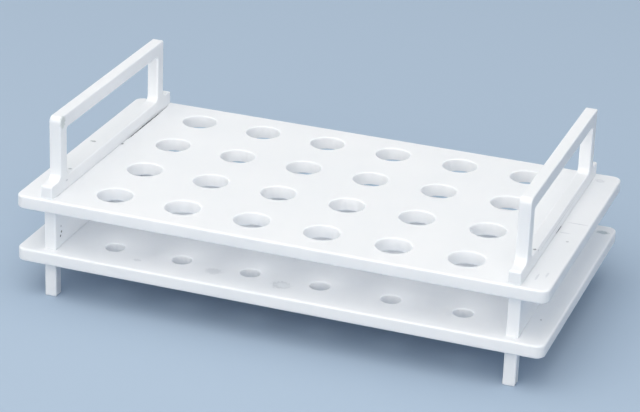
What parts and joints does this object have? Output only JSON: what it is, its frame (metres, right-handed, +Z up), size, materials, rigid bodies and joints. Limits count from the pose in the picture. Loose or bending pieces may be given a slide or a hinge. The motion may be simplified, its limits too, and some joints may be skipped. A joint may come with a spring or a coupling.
{
  "type": "microcentrifuge tube rack",
  "caption": "Two-shelf laboratory rack that holds microcentrifuge tubes upright in a grid of holes, on short legs, with a grip loop at each end.",
  "frame": {"origin": "on the bench surface under the middle of the rack, at the height of the legs' lower ends", "axes": "+X along the long rows, from the left end frame to the right one; +Y from the front edge to the back edge; +Z up"},
  "size_m": [0.172, 0.0946, 0.0594],
  "materials": {
    "white_polypropylene": "injection-moulded white polypropylene, satin"
  },
  "bodies": {
    "root": {"upper_shelf": "white_polypropylene", "lower_shelf": "white_polypropylene", "left_end_frame": "white_polypropylene", "right_end_frame": "white_polypropylene"}
  },
  "joints": []
}
